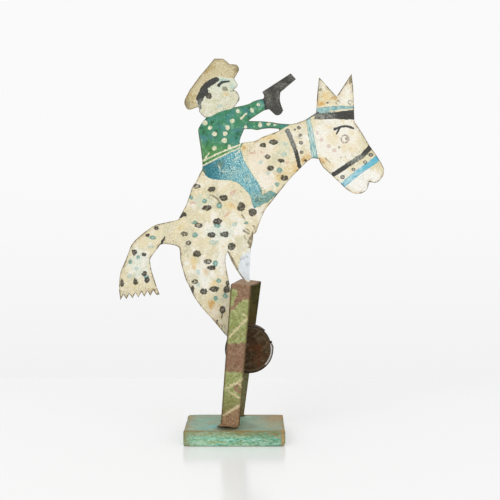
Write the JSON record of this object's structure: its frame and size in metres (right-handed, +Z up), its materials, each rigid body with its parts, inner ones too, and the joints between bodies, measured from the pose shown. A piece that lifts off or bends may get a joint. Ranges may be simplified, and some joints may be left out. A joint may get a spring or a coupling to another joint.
{
  "type": "counterweight balancing toy",
  "caption": "Balancing toy: a flat tin horse and rider stands on the tip of one foot on a bent strap, kept upright by a round weight that hangs from the hind leg between the strap's posts.",
  "frame": {"origin": "middle of the board's underside", "axes": "+X to the right as seen from the front, the way the horse faces, +Y to the back, +Z up"},
  "size_m": [0.3353, 0.09, 0.478],
  "materials": {
    "board_wood": "matte",
    "strap_tin": "matte",
    "nail_steel": "matte",
    "figure_tin": "matte",
    "bare_tin": "satin",
    "bead_metal": "satin",
    "lid_tin": "satin",
    "slug_iron": "matte",
    "rivet_steel": "matte"
  },
  "bodies": {
    "stand": {"base_board": "board_wood", "post_strap": "strap_tin", "front_foot_nail_left": "nail_steel", "front_foot_nail_right": "nail_steel", "rear_foot_nail_left": "nail_steel", "rear_foot_nail_right": "nail_steel"},
    "pivot": {"pivot_bead": "bead_metal"},
    "figure": {"horse_and_rider": "figure_tin", "foot_plate": "bare_tin", "weight_lid": "lid_tin", "weight_slug": "slug_iron", "weight_rivet_inner": "rivet_steel", "weight_rivet_outer": "rivet_steel"}
  },
  "joints": [
    {"name": "swivel", "type": "hinge", "parent": "stand", "child": "pivot", "pos_m": [0.0165, 0.0045, 0.196], "axis": [0, 0, 1], "range_deg": [-30, 10]},
    {"name": "rock", "type": "hinge", "parent": "pivot", "child": "figure", "pos_m": [0.0165, 0.0045, 0.196], "axis": [0, 1, 0], "range_deg": [-25, 25]}
  ]
}
